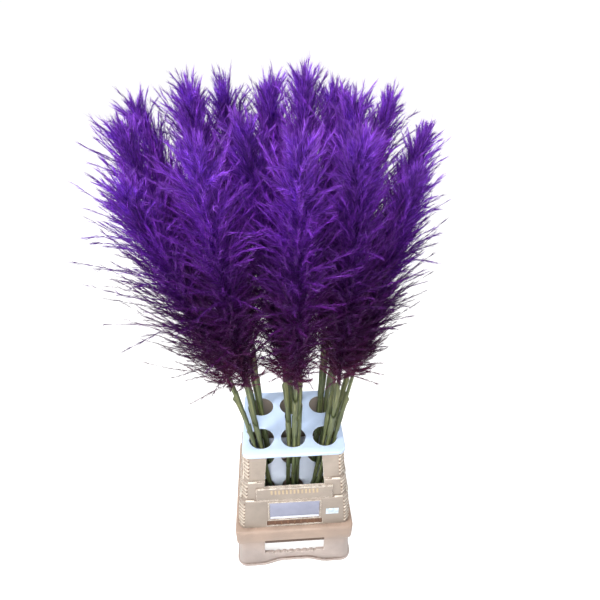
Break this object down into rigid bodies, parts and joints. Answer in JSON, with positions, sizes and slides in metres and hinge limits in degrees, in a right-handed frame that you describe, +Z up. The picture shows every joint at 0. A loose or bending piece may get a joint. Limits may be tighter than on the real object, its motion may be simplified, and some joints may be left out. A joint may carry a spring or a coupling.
{
  "type": "dyed pampas grass in a flower container",
  "caption": "Bunch of purple-dyed pampas grass plumes on green stems, standing in a footed plastic flower container whose two plates hold the stems upright.",
  "frame": {"origin": "on the floor, under the middle of the whole object's width and depth", "axes": "+Z up along the stems; +Y away from the front, which is the side with the label recess; +X to the right as seen from the front"},
  "size_m": [0.695, 0.6762, 1.4751],
  "materials": {
    "beige_plastic": "moulded, slightly worn",
    "pale_blue_plastic": "satin moulded",
    "label_card": "bare satin card",
    "sticker": "bare satin film",
    "green_stem": "smooth, lengthwise fibres",
    "purple_plume": "silky dyed hairs"
  },
  "bodies": {
    "root": {"base": "beige_plastic", "hood": "beige_plastic", "lower_plate": "pale_blue_plastic", "top_plate": "pale_blue_plastic", "label_card": "label_card", "sticker": "sticker", "stem_left_outer": "green_stem", "stem_left_low": "green_stem", "stem_left_front": "green_stem", "stem_left_inner": "green_stem", "stem_centre_left": "green_stem", "stem_centre_front": "green_stem", "stem_centre_right": "green_stem", "stem_right_front": "green_stem", "stem_right_low": "green_stem", "stem_right_outer": "green_stem", "stem_right_inner": "green_stem", "stem_rear_left_outer": "green_stem", "stem_rear_left": "green_stem", "stem_rear_left_inner": "green_stem", "stem_rear_centre_left": "green_stem", "stem_rear_centre": "green_stem", "stem_rear_right_inner": "green_stem", "stem_rear_right": "green_stem", "stem_rear_right_outer": "green_stem", "head_left_outer": "purple_plume", "head_left_low": "purple_plume", "head_left_front": "purple_plume", "head_left_inner": "purple_plume", "head_centre_left": "purple_plume", "head_centre_front": "purple_plume", "head_centre_right": "purple_plume", "head_right_front": "purple_plume", "head_right_low": "purple_plume", "head_right_outer": "purple_plume", "head_right_inner": "purple_plume", "head_rear_left_outer": "purple_plume", "head_rear_left": "purple_plume", "head_rear_left_inner": "purple_plume", "head_rear_centre_left": "purple_plume", "head_rear_centre": "purple_plume", "head_rear_right_inner": "purple_plume", "head_rear_right": "purple_plume", "head_rear_right_outer": "purple_plume"}
  },
  "joints": []
}
